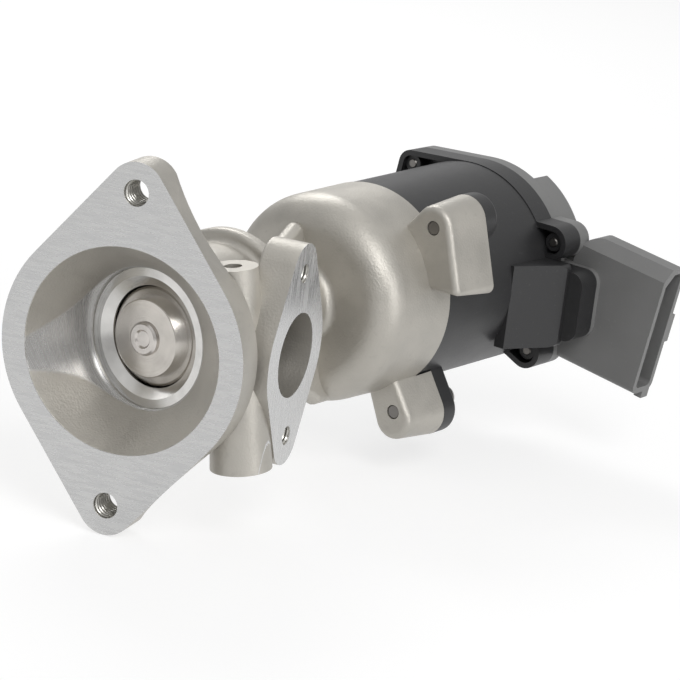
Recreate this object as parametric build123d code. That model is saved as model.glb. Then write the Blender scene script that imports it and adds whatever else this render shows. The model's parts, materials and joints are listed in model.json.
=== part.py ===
from build123d import *
from math import asin, cos, degrees, radians, sin, tan
import os

# Exhaust gas recirculation valve with a coaxial electric drive. Lengths are millimetres.
# Row frame: the origin is the centre of the bowl's mouth on the main flange's face, the face
# looks along -X, the main bolt line runs along Z and the side port opens along -Y.
# Valve frame: local Z runs along the valve and motor axis from the seat towards the motor,
# local Y is the row's Z, and a bearing angle is measured from local X towards local Y.

# Placing of the valve axis
SEAT_SET = 15.8
VALVE_TILT = 15.6

# Main flange and bowl
MAIN_BOLT_SPACING = 81.6
MAIN_BOLT_DRILL_R = 3.4
MAIN_CENTRE_R = 33.2
MAIN_LOBE_R = 7.8
MAIN_THICK = 9.0
MAIN_SIDE_SCOOP_R = 72.0
MAIN_SIDE_DRAFT = 11.0
BOWL_MOUTH_R = 26.8
BOWL_SLOPE = 0.30
BOWL_WALL = 4.0
BOWL_DEPTH = 28.0
RELIEF_R = 20.4

# Seat, disc and stem
SEAT_R = 20.2
SEAT_LAND_R = 18.2
SEAT_LAND_DROP = 1.1
SEAT_FACE_R = 15.9
THROAT_R = 13.3
SEAT_CHAMFER_DEPTH = 2.0
SEAT_THROAT_LAND = 0.6
SEAT_THICK = 5.0
SEAT_GAP = 0.3
DISC_FACE_R = 10.0
DISC_NOSE = 1.0
DISC_RIM = 1.2
DISC_HUB_R = 6.0
DISC_HUB_END = 9.5
STEM_R = 3.0
STEM_TENON_R = 2.4
RIVET_R = 4.4
RIVET_THICK = 1.1
RIVET_DIMPLE_R = 2.0
LIFT = 6.0

# Chamber, side port and its flange
CHAMBER_R = 17.2
CHAMBER_END = 27.0
CHAMBER_DOME = 5.0
CHAMBER_WALL = 3.6
PORT_X = 29.0
PORT_FACE_Y = 35.4
PORT_R = 11.1
PORT_BRANCH_WALL = 4.4
PORT_BOLT_SPACING = 43.2
PORT_BOLT_DRILL_R = 2.5
PORT_CENTRE_R = 17.8
PORT_LOBE_R = 7.8
PORT_THICK = 10.0
PORT_EDGE = 0.8

# Bolt post beside the bowl, leaning from its top towards the port side
POST_TOP = (15.5, -21.2, 23.5)
POST_FOOT = (17.0, -28.8, -28.5)
POST_TOP_R = 6.4
POST_FOOT_R = 8.0
POST_HOLE_R = 2.3

# Drum, neck and motor can, along the valve axis
DRUM_R = 24.4
DRUM_FRONT = 29.4
DRUM_THICK = 4.4
NECK_FRONT_R = 13.0
NECK_R = 9.6
NECK_WAIST = 50.0
CAN_FRONT = 64.2
CAN_NOSE_R = 28.7
CAN_RIM_R = 29.4
CAN_RIM = 92.5
CAN_NOSE_ROUND = 8.5
CAN_WALL = 3.2
CAN_NOSE_WALL = 4.0
GUSSET_THICK = 5.4
GUSSET_SLOPE = 0.55
GUSSETS = ((75.0, 21.5), (253.0, 28.4))

# Lugs that carry the motor housing: bearing and reach of each, and the three screws
LUG_BEARINGS = (137.5, 234.0, 346.0)
LUG_TIPS = ((36.1, 136.6), (38.0, 236.4), (37.0, 346.0))
LUG_SCREW_R = 36.3
LUG_R = 5.6
LUG_DRAFT = 5.0
LUG_FRONT = 83.3
LUG_REAR = 99.0
LUG_EDGE = 1.8
LUG_SKIRT = (-37.0, 7.8)
HOUSING_LUG_THICK = 6.5
HOUSING_LUG_R = 7.0

# Screws
LUG_SCREW_SHANK_R = 2.0
LUG_SCREW_HEAD_R = 3.8
LUG_SCREW_HEAD = 3.4
COVER_SCREW_SHANK_R = 1.4
COVER_SCREW_HEAD_R = 2.8
COVER_SCREW_HEAD = 2.0
DRIVE_SOCKET_R = 1.4
SCREW_PLAY = 0.25

# Stem guide, scraper and seal in the neck
GUIDE_R = 6.0
GUIDE_FRONT = 31.0
GUIDE_REAR = 58.0
SCRAPER_R = 8.0
SCRAPER_THICK = 2.5
SEAL_R = 7.5
SEAL_FRONT = 63.2
SEAL_THICK = 5.0
STEM_PLAY = 0.05

# Stem rear end, spindle and return spring
STEM_END = 70.0
STEM_SPIGOT_R = 2.0
SPINDLE_R = 4.0
SPINDLE_END = 108.0
SPINDLE_COLLAR_R = 5.4
CUP_R = 18.2
CUP_THICK = 1.6
CUP_FRONT = 72.0
CUP_LIP = 2.2
SPRING_R = 15.2
SPRING_WIRE_R = 0.9
SPRING_TURNS = 4.0
SPRING_AIR = 0.3
THRUST_PLATE_R = 18.2
THRUST_PLATE_THICK = 0.9

# Motor housing
SPIGOT_FRONT = 86.5
SPIGOT_PLAY = 0.12
SHELL_R = 29.1
SHELL_WALL = 2.7
SHELL_REAR_R = 29.6
SHELL_REAR_SHIFT = (-0.6, 0.9)
FLANGE_FRONT = 139.5
FLANGE_THICK = 8.0
FRONT_WALL = 2.0
O_RING_WIRE = 1.7
O_RING_FRONT = 88.4
EAR_BEARINGS = (49.4, 155.6, 217.0, 325.0)
EAR_SCREW_R = 33.0
EAR_R = 5.0
EAR_CORNER_R = 4.1
EAR_WALL = 1.6
EAR_POCKET_DEPTH = 5.5
EAR_BOSS_R = 2.6
BULGE_FRONT = 122.5
BULGE_OUT = 37.5
BULGE_TOP = 9.0
BULGE_FOOT = -15.4
BAND_OUT = 42.4
BAND_TOP = 7.0
BAND_FOOT = -13.4
BAND_ROUND = 4.0

# Rotor, stator and bearings
SHAFT_R = 8.0
FRONT_JOURNAL_R = 6.0
REAR_JOURNAL_R = 5.0
NUT_REAR = 104.0
SPINDLE_BORE_R = 4.6
SPINDLE_PLAY = 0.06
BORE_SPARE = 8.0
FRONT_BEARING_R = 11.0
FRONT_BEARING_THICK = 4.6
REAR_BEARING_R = 9.5
REAR_BEARING_THICK = 4.0
RACE_THICK = 1.5
BALL_COUNT = 9
STACK_FRONT = 99.0
STACK_REAR = 125.0
ROTOR_CORE_R = 12.4
MAGNET_THICK = 1.9
MAGNET_COUNT = 8
MAGNET_GAP_ANGLE = 5.0
AIR_GAP = 0.7
TOOTH_COUNT = 9
TOOTH_WIDTH = 4.2
TOOTH_SHOE_ANGLE = 30.0
TOOTH_SHOE_THICK = 1.4
YOKE_THICK = 3.2
COIL_BUILD = 1.7
COIL_OVERHANG = 3.0
BRIDGE_THICK = 6.5
BRIDGE_FRONT = 129.5
BRIDGE_WEB = 2.5

# Angle sensor, circuit board and connector
MAGNET_CUP_R = 5.6
SENSOR_MAGNET_R = 4.2
SENSOR_MAGNET_THICK = 2.4
SENSOR_GAP = 1.2
BOARD_PLAY = 0.6
BOARD_THICK = 1.6
BOARD_FRONT = 143.6
CHIP_SIDE = 5.0
CHIP_THICK = 1.4

# Rear cover with its connector shroud
COVER_RIM_REAR = 153.0
COVER_BLOCK_REAR = 160.2
COVER_BLOCK_EDGE = -9.5
COVER_WALL = 2.4
COVER_EDGE = 1.2
COVER_STEP_R = 17.0
COVER_STEP = 1.0
SEAL_GROOVE_R = 27.6
SEAL_WIRE = 1.4
PLUG_BEARING = 188.5
PLUG_WIDTH = 38.6
PLUG_CENTRE = 2.0
PLUG_FRONT = 149.4
PLUG_THICK = 10.8
PLUG_OUT = 61.0
PLUG_START = 31.0
PLUG_ROOT_TOP = 12.0
PLUG_SHOULDER_R = 7.0
PLUG_DEPTH = 19.0
PLUG_WALL = 1.7
PLUG_CORNER = 2.6
PLUG_BEVEL = 3.4
PLUG_HOOK = 2.2
LATCH_WIDTH = 8.4
LATCH_OUT = 1.6
PIN_COUNT = 5
PIN_PITCH = 5.6
PIN_WIDTH = 1.5
PIN_THICK = 0.8
PIN_LENGTH = 11.0
TAIL_INSET = 6.4

# Derived places
SEAT_CONE_FRONT = SEAT_CHAMFER_DEPTH + SEAT_THROAT_LAND
SEAT_CONE_R = THROAT_R + SEAT_THICK - SEAT_CONE_FRONT
CUP_REAR = CUP_FRONT + CUP_THICK
CAN_BORE_R = CAN_NOSE_R - CAN_WALL
SPIGOT_R = CAN_BORE_R - SPIGOT_PLAY
FLANGE_REAR = FLANGE_FRONT + FLANGE_THICK
SHELL_BORE_R = SHELL_R - SHELL_WALL
THRUST_PLATE_FRONT = SPIGOT_FRONT - THRUST_PLATE_THICK
FRONT_BEARING_FRONT = SPIGOT_FRONT + FRONT_WALL
REAR_BEARING_FRONT = BRIDGE_FRONT + BRIDGE_WEB
MAGNET_R = ROTOR_CORE_R + MAGNET_THICK
TOOTH_TIP_R = MAGNET_R + AIR_GAP
CHIP_FRONT = BOARD_FRONT - CHIP_THICK
SENSOR_MAGNET_REAR = CHIP_FRONT - SENSOR_GAP
CONE_GAP = SEAT_GAP * 2 ** 0.5
BORE_END = SPINDLE_END + LIFT + BORE_SPARE
TAIL_R = SHELL_BORE_R - TAIL_INSET
VALVE_FRAME = Plane(
    origin=(SEAT_SET, 0, 0),
    x_dir=(sin(radians(VALVE_TILT)), cos(radians(VALVE_TILT)), 0),
    z_dir=(cos(radians(VALVE_TILT)), -sin(radians(VALVE_TILT)), 0),
).location


def in_row(shape):
    """Carry a shape from the valve frame into the row frame."""
    return VALVE_FRAME * shape


def polar(radius, bearing, height=0.0):
    """Location at a radius and bearing round the local Z axis."""
    return Pos(radius * cos(radians(bearing)), radius * sin(radians(bearing)), height)


def disc(radius, low, high):
    """Solid round bar along local Z between two heights."""
    return Pos(0, 0, low) * Cylinder(radius, high - low, align=(Align.CENTER, Align.CENTER, Align.MIN))


def ring(outer, inner, low, high):
    """Plain washer along local Z."""
    return disc(outer, low, high) - disc(inner, low - 1, high + 1)


def block(x_span, y_span, z_span):
    """Box between pairs of coordinates."""
    sizes = [span[1] - span[0] for span in (x_span, y_span, z_span)]
    return Pos(x_span[0], y_span[0], z_span[0]) * Box(*sizes, align=(Align.MIN, Align.MIN, Align.MIN))


def spun(*corners):
    """Revolve an outline of (radius, height) corners; a third value rounds that corner."""
    face = make_face(Polyline(*[corner[:2] for corner in corners], close=True).edges())
    for corner in corners:
        if len(corner) == 3:
            vertex = face.vertices().sort_by_distance((corner[0], corner[1], 0))[0]
            face = fillet(vertex, corner[2])
    return revolve(Plane.XZ * face, Axis.Z)


def raised(sketch, low, high):
    """Extrude a flat outline between two heights."""
    return extrude(Pos(0, 0, low) * sketch, amount=high - low)


def lobed(centre_r, lobe_r, spacing):
    """Two-bolt flange outline: a round middle drawn out to a lobe at each bolt."""
    circles = [Circle(centre_r)] + [Pos(0, side * spacing / 2) * Circle(lobe_r) for side in (-1, 1)]
    return make_hull([edge for circle in circles for edge in circle.edges()])


def joined(*shapes):
    """Fuse shapes into one part."""
    whole = shapes[0]
    for shape in shapes[1:]:
        whole = whole + shape
    return whole


# Casting

def main_flange():
    """Machined plate on the row's YZ plane with broken front and rear edges."""
    plate = raised(lobed(MAIN_CENTRE_R, MAIN_LOBE_R, MAIN_BOLT_SPACING), 0, MAIN_THICK)
    for turn in (0, 180):
        scoop = Rot(0, 0, turn) * side_scoop()
        plate = plate - scoop - mirror(scoop, Plane.YZ)
    return Plane.YZ.location * plate


def side_scoop():
    """Tilted round cutter that hollows one straight side of the main flange towards its rear."""
    lean = degrees(asin((MAIN_CENTRE_R - MAIN_LOBE_R) * 2 / MAIN_BOLT_SPACING))
    along = MAIN_BOLT_SPACING / 4 * cos(radians(lean))
    reach = (MAIN_CENTRE_R + MAIN_LOBE_R) / 2 + MAIN_BOLT_SPACING / 4 * sin(radians(lean))
    middle = Rot(0, 0, lean) * Pos(reach, along, 0)
    return middle * Rot(0, -MAIN_SIDE_DRAFT, 0) * Pos(MAIN_SIDE_SCOOP_R, 0, 0) * Cylinder(MAIN_SIDE_SCOOP_R, 60)


def bowl_shell():
    """Cast wall round the bowl behind the main flange, about the row's X axis."""
    foot_r = BOWL_MOUTH_R - BOWL_SLOPE * BOWL_DEPTH + BOWL_WALL
    shoulder = MAIN_THICK + 3.0
    return Plane.YZ.location * spun(
        (0, 0),
        (BOWL_MOUTH_R, 0),
        (BOWL_MOUTH_R + BOWL_WALL, MAIN_THICK - 1.0),
        (BOWL_MOUTH_R + BOWL_WALL - 1.0, shoulder, 2.0),
        (foot_r, BOWL_DEPTH, 3.0),
        (0, BOWL_DEPTH),
    )


def axial_shell():
    """Chamber, drum, neck and motor can as one turned form in the valve frame."""
    chamber_r = CHAMBER_R + CHAMBER_WALL
    drum_rear = DRUM_FRONT + DRUM_THICK
    return spun(
        (0, SEAT_LAND_DROP),
        (chamber_r, SEAT_LAND_DROP),
        (chamber_r, DRUM_FRONT, 1.8),
        (DRUM_R, DRUM_FRONT, 1.7),
        (DRUM_R, drum_rear, 1.2),
        (NECK_FRONT_R, drum_rear, 3.0),
        (NECK_R, NECK_WAIST, 12.0),
        (NECK_R, CAN_FRONT, 2.5),
        (CAN_NOSE_R, CAN_FRONT, CAN_NOSE_ROUND),
        (CAN_RIM_R, CAN_RIM),
        (0, CAN_RIM),
    )


def lug_outline(index, radius):
    """Rounded arm from the can's wall out round one screw."""
    reach, bearing = LUG_TIPS[index]
    root = polar(CAN_BORE_R - 1.0, LUG_BEARINGS[index]) * Circle(radius - 1.0)
    tip = polar(reach, bearing) * Circle(radius)
    return make_hull([edge for circle in (root, tip) for edge in circle.edges()])


def skirt_outline(radius):
    """The upper lug's skirt, drawn down the can's side to a flat foot."""
    out, foot = LUG_SKIRT
    corner = Pos(out + 1.0, foot + 1.0) * Circle(1.0)
    inner = Pos(-CAN_BORE_R + 1.0, foot + 1.0) * Circle(1.0)
    root = polar(CAN_BORE_R - 1.0, LUG_BEARINGS[0] + 12.0) * Circle(radius - 2.0)
    tip = polar(*LUG_TIPS[0]) * Circle(radius)
    return make_hull([edge for circle in (corner, inner, root, tip) for edge in circle.edges()])


def can_lugs():
    """Three drafted screw lugs, each with a rounded front edge."""
    lugs = []
    for index in range(len(LUG_BEARINGS)):
        outlines = [lug_outline(index, LUG_R)]
        if index == 0:
            outlines.append(skirt_outline(LUG_R))
        for outline in outlines:
            arm = extrude(Pos(0, 0, LUG_FRONT) * outline, amount=LUG_REAR - LUG_FRONT, taper=-LUG_DRAFT)
            lugs.append(fillet(arm.faces().sort_by(Axis.Z)[0].edges(), LUG_EDGE))
    return joined(*lugs)


def can_cut():
    """Motor cavity, and the clearance of the lugs' overhang round the motor shell."""
    cavity = spun(
        (0, CAN_FRONT + CAN_NOSE_WALL),
        (CAN_BORE_R, CAN_FRONT + CAN_NOSE_WALL, 5.0),
        (CAN_BORE_R, CAN_RIM + 1),
        (0, CAN_RIM + 1),
    )
    overhang = disc(SHELL_R + 0.45, CAN_RIM, LUG_REAR + 1)
    return cavity + overhang


def neck_cut():
    """Stepped bore for the scraper, the guide and the seal."""
    return joined(
        disc(GUIDE_R, CHAMBER_END - 1, CAN_FRONT + CAN_NOSE_WALL + 1),
        disc(SCRAPER_R, CHAMBER_END - 1, CHAMBER_END + SCRAPER_THICK),
        disc(SEAL_R, SEAL_FRONT, CAN_FRONT + CAN_NOSE_WALL + 1),
    )


def gusset(bearing, top_r):
    """Sloping web between the neck and the can's front face."""
    low_r = NECK_R - 2
    low = CAN_FRONT - 1.0 - (top_r - low_r) / GUSSET_SLOPE
    web = make_face(Polyline(
        (low_r, max(low, DRUM_FRONT + 1)),
        (top_r, CAN_FRONT - 1.0),
        (top_r, CAN_FRONT + CAN_NOSE_ROUND),
        (low_r, CAN_FRONT + CAN_NOSE_ROUND),
        close=True,
    ).edges())
    plate = extrude(Plane.XZ * web, amount=GUSSET_THICK / 2, both=True)
    top = plate.edges().filter_by(lambda edge: edge.center().X > (low_r + 1) and abs(edge.center().Y) > 1)
    outer = [edge for edge in top if edge.center().Z < CAN_FRONT + CAN_NOSE_ROUND - 1]
    return Rot(0, 0, bearing) * fillet(outer, GUSSET_THICK / 2 - 0.4)


def post():
    """Leaning, tapered bolt post between its two end points."""
    top, foot = Vector(*POST_TOP), Vector(*POST_FOOT)
    axis = top - foot
    ends = [Plane(origin=foot, z_dir=axis) * Circle(POST_FOOT_R), Plane(origin=top, z_dir=axis) * Circle(POST_TOP_R)]
    return loft(ends)


def post_hole():
    """Through hole along the post."""
    top, foot = Vector(*POST_TOP), Vector(*POST_FOOT)
    axis = (top - foot).normalized()
    start = foot - axis * 2
    return extrude(Plane(origin=start, z_dir=axis) * Circle(POST_HOLE_R), amount=(top - foot).length + 4)


def port_flange():
    """Side branch and its two-bolt flange, facing the row's -Y."""
    plate = raised(lobed(PORT_CENTRE_R, PORT_LOBE_R, PORT_BOLT_SPACING), 0, PORT_THICK)
    plate = fillet(plate.faces().sort_by(Axis.Z)[-1].edges(), PORT_EDGE)
    branch = disc(PORT_R + PORT_BRANCH_WALL, PORT_THICK - 1, PORT_FACE_Y - 8.0)
    return port_location() * (plate + branch)


def port_location():
    """The port's face, with local Z running into the casting."""
    return Plane(origin=(PORT_X, -PORT_FACE_Y, 0), x_dir=(1, 0, 0), z_dir=(0, 1, 0)).location


def flange_holes():
    """Bolt holes of both flanges, in the row frame."""
    holes = []
    for side in (-1, 1):
        main = Pos(0, side * MAIN_BOLT_SPACING / 2) * disc(MAIN_BOLT_DRILL_R, -1, MAIN_THICK + 1)
        port = Pos(0, side * PORT_BOLT_SPACING / 2) * disc(PORT_BOLT_DRILL_R, -1, PORT_THICK + 1)
        holes += [Plane.YZ.location * main, port_location() * port]
    return holes


def bowl_cut():
    """Cast cone of the bowl, ended by the seat's plane, and the turned relief before the seat."""
    cone = Plane.YZ.location * spun(
        (0, -1),
        (BOWL_MOUTH_R, -1),
        (BOWL_MOUTH_R, 0.4),
        (BOWL_MOUTH_R - BOWL_SLOPE * (BOWL_DEPTH + 6), BOWL_DEPTH + 6),
        (0, BOWL_DEPTH + 6),
    )
    reach = 4 * BOWL_MOUTH_R
    before_seat = in_row(block((-reach, reach), (-reach, reach), (-reach, SEAT_LAND_DROP)))
    relief = in_row(disc(RELIEF_R, -reach, SEAT_LAND_DROP))
    mouth_side = block((-1, reach), (-reach, reach), (-reach, reach))
    return (cone & before_seat) + (relief & mouth_side)


def chamber_cut():
    """Gas chamber behind the seat, and the seat's bore."""
    return disc(SEAT_R, 0, SEAT_THICK) + spun(
        (0, SEAT_THICK - 1),
        (CHAMBER_R, SEAT_THICK - 1),
        (CHAMBER_R, CHAMBER_END, CHAMBER_DOME),
        (0, CHAMBER_END),
    )


def make_valve_body():
    """The one-piece aluminium casting from the main flange to the motor can."""
    axial = joined(axial_shell(), can_lugs(), *[gusset(*place) for place in GUSSETS])
    body = joined(main_flange(), bowl_shell(), in_row(axial), port_flange(), post())
    tapped = [polar(LUG_SCREW_R, bearing) * disc(LUG_SCREW_SHANK_R, LUG_FRONT - 1, LUG_REAR + 1)
              for bearing in LUG_BEARINGS]
    inside = joined(chamber_cut(), neck_cut(), can_cut(), *tapped)
    port_bore = port_location() * disc(PORT_R, -1, PORT_FACE_Y - 2)
    for cut in (bowl_cut(), in_row(inside), port_bore, post_hole(), *flange_holes()):
        body -= cut
    return body


# Valve, stem and guide

def make_seat_ring():
    """Pressed-in steel seat: stepped front, entry chamfer, throat and sealing cone."""
    return in_row(spun(
        (THROAT_R, SEAT_CHAMFER_DEPTH),
        (SEAT_FACE_R, 0),
        (SEAT_LAND_R, 0),
        (SEAT_LAND_R, SEAT_LAND_DROP),
        (SEAT_R, SEAT_LAND_DROP),
        (SEAT_R, SEAT_THICK),
        (SEAT_CONE_R, SEAT_THICK),
        (THROAT_R, SEAT_CONE_FRONT),
    ))


def make_valve_disc():
    """Poppet with a dished nose in the throat and a sealing cone behind the seat."""
    cone_r = THROAT_R - SEAT_GAP
    cone_front = SEAT_CONE_FRONT + CONE_GAP - SEAT_GAP
    cone_end_r = SEAT_CONE_R - 0.6
    cone_rear = cone_front + cone_end_r - cone_r
    return in_row(spun(
        (STEM_TENON_R, -DISC_NOSE),
        (DISC_FACE_R, -DISC_NOSE, 0.4),
        (cone_r, cone_front),
        (cone_end_r, cone_rear),
        (cone_end_r, cone_rear + DISC_RIM),
        (DISC_HUB_R, cone_rear + DISC_RIM + 1.6, 1.0),
        (DISC_HUB_R - 1.0, DISC_HUB_END),
        (STEM_TENON_R, DISC_HUB_END),
    ))


def make_valve_stem():
    """Stem with a riveted front tenon and a rear spigot for the spindle."""
    front = -DISC_NOSE - RIVET_THICK
    return in_row(spun(
        (0, front + 0.5),
        (RIVET_DIMPLE_R, front + 0.5),
        (RIVET_DIMPLE_R + 0.5, front),
        (RIVET_R - 0.6, front),
        (RIVET_R, front + 0.5),
        (RIVET_R, -DISC_NOSE),
        (STEM_TENON_R, -DISC_NOSE),
        (STEM_TENON_R, DISC_HUB_END),
        (STEM_R, DISC_HUB_END),
        (STEM_R, STEM_END),
        (STEM_SPIGOT_R, STEM_END),
        (STEM_SPIGOT_R, CUP_REAR + 8.0),
        (0, CUP_REAR + 8.0),
    ))


def make_stem_guide():
    """Long bush pressed in the neck, with a lubrication groove."""
    bush = ring(GUIDE_R, STEM_R + STEM_PLAY, GUIDE_FRONT, GUIDE_REAR)
    middle = (GUIDE_FRONT + GUIDE_REAR) / 2
    return in_row(bush - ring(STEM_R + 0.8, STEM_R, middle - 3, middle + 3))


def make_stem_scraper():
    """Steel ring at the chamber's end that keeps soot out of the guide."""
    return in_row(spun(
        (STEM_R + STEM_PLAY, CHAMBER_END + 0.8),
        (STEM_R + 1.4, CHAMBER_END - 1.2),
        (STEM_R + 2.4, CHAMBER_END - 1.2),
        (STEM_R + 3.0, CHAMBER_END),
        (SCRAPER_R, CHAMBER_END),
        (SCRAPER_R, CHAMBER_END + SCRAPER_THICK),
        (STEM_R + STEM_PLAY, CHAMBER_END + SCRAPER_THICK),
    ))


def make_stem_seal():
    """Lip seal at the motor end of the neck."""
    rear = SEAL_FRONT + SEAL_THICK
    return in_row(spun(
        (STEM_R + 1.2, SEAL_FRONT),
        (SEAL_R, SEAL_FRONT),
        (SEAL_R, rear),
        (STEM_R + 3.6, rear),
        (STEM_R + 3.6, SEAL_FRONT + 2.4),
        (STEM_R + 1.6, rear - 1.0),
        (STEM_R + STEM_PLAY, rear - 1.4),
        (STEM_R + 1.2, SEAL_FRONT + 1.4),
    ))


def make_spring_cup():
    """Pressed cup on the stem that the return spring pushes on."""
    lip_r = CUP_R - CUP_THICK
    return in_row(spun(
        (STEM_SPIGOT_R, CUP_FRONT),
        (CUP_R, CUP_FRONT, 1.0),
        (CUP_R, CUP_REAR + CUP_LIP),
        (lip_r, CUP_REAR + CUP_LIP),
        (lip_r, CUP_REAR),
        (STEM_SPIGOT_R, CUP_REAR),
    ))


def make_stem_spacer():
    """Collar between the stem's shoulder and the spring cup."""
    return in_row(ring(STEM_R + 1.6, STEM_SPIGOT_R, STEM_END, CUP_FRONT))


def make_spindle():
    """Steep-thread spindle pressed on the stem's spigot; the thread itself stays plain here."""
    body = spun(
        (0, CUP_REAR),
        (SPINDLE_COLLAR_R, CUP_REAR),
        (SPINDLE_COLLAR_R, CUP_REAR + 2.0),
        (SPINDLE_R, CUP_REAR + 3.2),
        (SPINDLE_R, SPINDLE_END - 1.0),
        (SPINDLE_R - 1.0, SPINDLE_END),
        (0, SPINDLE_END),
    )
    return in_row(body - disc(STEM_SPIGOT_R, CUP_REAR - 1, CUP_REAR + 8.0))


def make_return_spring():
    """Compression spring from the cup to the thrust plate, its ends ground flat."""
    low = CUP_REAR + SPRING_AIR
    high = THRUST_PLATE_FRONT - SPRING_AIR
    pitch = (high - low - 2 * SPRING_WIRE_R) / SPRING_TURNS
    path = Pos(0, 0, low + SPRING_WIRE_R) * Helix(pitch, pitch * SPRING_TURNS, SPRING_R)
    start = Plane(origin=path @ 0, z_dir=path % 0)
    return in_row(sweep(start * Circle(SPRING_WIRE_R), path=path, is_frenet=True))


def make_thrust_plate():
    """Thin steel plate that spreads the spring's load on the motor housing."""
    return in_row(ring(THRUST_PLATE_R, FRONT_JOURNAL_R + 2.0, THRUST_PLATE_FRONT, SPIGOT_FRONT))


# Motor

def shell_circle():
    """Outer circle of the housing's rear end and of the cover."""
    return Pos(*SHELL_REAR_SHIFT) * Circle(SHELL_REAR_R)


def ear_outline(index, inset):
    """Outline of one screw ear, moved inwards by an inset."""
    screw_x, screw_y = [EAR_SCREW_R * turn(radians(EAR_BEARINGS[index])) for turn in (cos, sin)]
    if index == 0:
        middle = Pos(*SHELL_REAR_SHIFT) * Circle(SHELL_REAR_R - inset)
        corner = Pos(screw_x, screw_y) * Circle(EAR_CORNER_R - inset)
        low = Pos(screw_x, screw_y - 8.0) * Circle(EAR_CORNER_R - inset)
        circles = (middle, corner, low)
    else:
        tip = Pos(screw_x, screw_y) * Circle(EAR_R - inset)
        root = Pos(screw_x * 0.68, screw_y * (1.0 if index == 1 else 0.8)) * Circle(EAR_R - inset)
        circles = (tip, root)
    return make_hull([edge for circle in circles for edge in circle.edges()])


def rear_outline():
    """Shared outline of the housing's rear end and of the cover."""
    sketch = Sketch() + shell_circle()
    for index in range(len(EAR_BEARINGS)):
        sketch += ear_outline(index, 0.0)
    height = BAND_TOP - BAND_FOOT
    band = Pos(-BAND_OUT / 2, (BAND_TOP + BAND_FOOT) / 2) * RectangleRounded(BAND_OUT, height, BAND_ROUND)
    return sketch + band


def ear_pocket(index):
    """Hollow behind one ear's wall, with the screw's boss left standing."""
    pocket = raised(ear_outline(index, EAR_WALL), FLANGE_FRONT - 1, FLANGE_FRONT + EAR_POCKET_DEPTH)
    pocket -= disc(SHELL_REAR_R + 0.4, FLANGE_FRONT - 2, FLANGE_REAR)
    boss = polar(EAR_SCREW_R, EAR_BEARINGS[index]) * disc(EAR_BOSS_R, FLANGE_FRONT + 1.5, FLANGE_REAR)
    return pocket - boss


def motor_shell():
    """Outside of the shell, growing a little and rising towards the rear."""
    front = Pos(0, 0, CAN_RIM) * Circle(SHELL_R)
    rear = Pos(0, 0, FLANGE_REAR) * shell_circle()
    return loft([front, rear])


def side_bulge():
    """Wedge on the shell's side that leads to the connector."""
    wedge = make_face(Polyline(
        (-SHELL_BORE_R, BULGE_FRONT),
        (-SHELL_R - 0.5, BULGE_FRONT),
        (-BULGE_OUT, FLANGE_FRONT - 1.0),
        (-BULGE_OUT, FLANGE_FRONT + 1.0),
        (-SHELL_BORE_R, FLANGE_FRONT + 1.0),
        close=True,
    ).edges())
    solid = extrude(Plane.XZ * wedge, amount=-(BULGE_TOP - BULGE_FOOT))
    solid = Pos(0, BULGE_FOOT, 0) * solid
    long_edges = solid.edges().filter_by(lambda edge: abs(edge.tangent_at(0.5).Z) > 0.5).sort_by(Axis.X)[:2]
    return fillet(long_edges, 1.6)


def housing_lugs():
    """Plastic lugs that lie against the casting's lugs."""
    lugs = []
    for index in range(len(LUG_BEARINGS)):
        arm = raised(lug_outline(index, HOUSING_LUG_R), LUG_REAR, LUG_REAR + HOUSING_LUG_THICK)
        lugs.append(fillet(arm.faces().sort_by(Axis.Z)[-1].edges(), 1.6))
    return joined(*lugs)


def make_motor_housing():
    """Black moulded shell: spigot, front wall with bearing seat, lugs, ears and side bulge."""
    outer = spun(
        (0, SPIGOT_FRONT),
        (SPIGOT_R, SPIGOT_FRONT),
        (SPIGOT_R, CAN_RIM + 1.0),
        (0, CAN_RIM + 1.0),
    )
    rear = raised(rear_outline(), FLANGE_FRONT, FLANGE_REAR)
    shell = joined(outer, motor_shell(), housing_lugs(), side_bulge(), rear)
    seat_rear = FRONT_BEARING_FRONT + FRONT_BEARING_THICK
    bore = disc(SHELL_BORE_R, seat_rear, FLANGE_REAR + 1)
    bearing_seat = disc(FRONT_BEARING_R, FRONT_BEARING_FRONT, seat_rear + 1)
    shaft_way = disc(FRONT_JOURNAL_R + 1.0, SPIGOT_FRONT - 1, seat_rear)
    groove = ring(SPIGOT_R + 1, SPIGOT_R - O_RING_WIRE + 0.1, O_RING_FRONT, O_RING_FRONT + O_RING_WIRE + 0.3)
    seal_groove = ring(SEAL_GROOVE_R + SEAL_WIRE / 2, SEAL_GROOVE_R - SEAL_WIRE / 2,
                       FLANGE_REAR - SEAL_WIRE / 2, FLANGE_REAR + 1)
    shell = shell - bore - bearing_seat - shaft_way - groove - seal_groove
    for bearing in LUG_BEARINGS:
        shell -= polar(LUG_SCREW_R, bearing) * disc(LUG_SCREW_SHANK_R + SCREW_PLAY, LUG_REAR - 1, LUG_REAR + 20)
    for index, bearing in enumerate(EAR_BEARINGS):
        shell -= ear_pocket(index)
        shell -= polar(EAR_SCREW_R, bearing) * disc(COVER_SCREW_SHANK_R, FLANGE_FRONT - 2, FLANGE_REAR + 1)
    return in_row(shell)


def make_housing_o_ring():
    """Round seal between the can's bore and the housing's spigot."""
    middle = O_RING_FRONT + (O_RING_WIRE + 0.3) / 2
    radius = CAN_BORE_R - O_RING_WIRE / 2
    return in_row(Pos(0, 0, middle) * Torus(radius, O_RING_WIRE / 2))


def screw(head_r, head, shank_r, length):
    """Round-head screw with a hexagon socket: head above local Z 0, shank below."""
    body = spun((0, -length), (shank_r - 0.3, -length), (shank_r, 0.3 - length), (shank_r, 0),
                (head_r, 0), (head_r, head * 0.55), (head_r - 0.8, head), (0, head))
    return body - raised(RegularPolygon(DRIVE_SOCKET_R, 6), head * 0.45, head + 1)


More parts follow.
